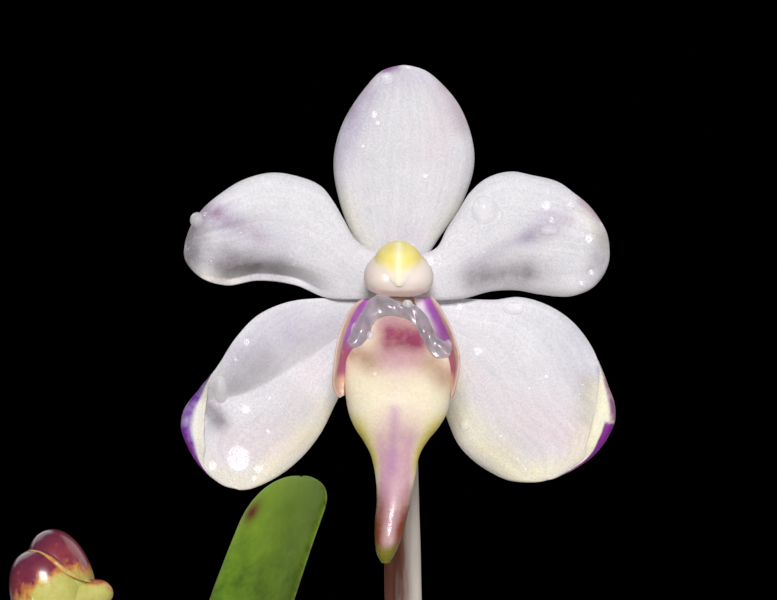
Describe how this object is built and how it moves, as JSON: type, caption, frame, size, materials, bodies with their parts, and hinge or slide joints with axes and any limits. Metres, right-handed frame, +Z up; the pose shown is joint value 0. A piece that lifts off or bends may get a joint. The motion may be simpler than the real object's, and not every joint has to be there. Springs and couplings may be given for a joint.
{
  "type": "potted orchid",
  "caption": "Compact orchid hybrid in a clay pot: arching channelled strap leaves, aerial roots over the rim and a thin spike with an open white flower, a spurred lip and dark buds.",
  "frame": {"origin": "middle of the pot's flat underside, on the surface it stands on", "axes": "+Z up, the open flower faces -Y, +X is to the flower's right as it is looked at"},
  "size_m": [0.1679, 0.1651, 0.2556],
  "materials": {
    "terracotta": "matte",
    "bark": "matte",
    "stem": "satin",
    "velamen": "matte",
    "leaf": "satin",
    "spike": "satin",
    "pedicel": "satin",
    "bract": "matte",
    "tepal": "satin",
    "column": "satin",
    "anther": "satin",
    "lip": "satin",
    "lobe": "satin",
    "crest": "gloss",
    "bud": "gloss",
    "bud_spur": "gloss"
  },
  "bodies": {
    "root": {"pot": "terracotta", "bark_mix": "bark", "stem": "stem", "root_front": "velamen", "root_right": "velamen", "root_left": "velamen", "root_back": "velamen", "root_over_rim_front": "velamen", "root_over_rim_back": "velamen", "leaf_1": "leaf", "leaf_2": "leaf", "leaf_3": "leaf", "leaf_4": "leaf", "leaf_5": "leaf", "leaf_6": "leaf", "leaf_7": "leaf", "leaf_8": "leaf", "leaf_9": "leaf", "flower_spike": "spike", "flower_pedicel": "pedicel", "large_bud_pedicel": "pedicel", "small_bud_pedicel": "pedicel", "small_bud": "bud", "flower_bract": "bract", "large_bud_bract": "bract", "spike_sheath_low": "bract", "spike_sheath_high": "bract", "dorsal_sepal": "tepal", "petal_left": "tepal", "petal_right": "tepal", "lateral_sepal_left": "tepal", "lateral_sepal_right": "tepal", "column": "column", "anther_cap": "anther", "lip": "lip", "lip_side_lobe_left": "lobe", "lip_side_lobe_right": "lobe", "lip_crest": "crest", "large_bud": "bud", "large_bud_spur": "bud_spur"}
  },
  "joints": []
}
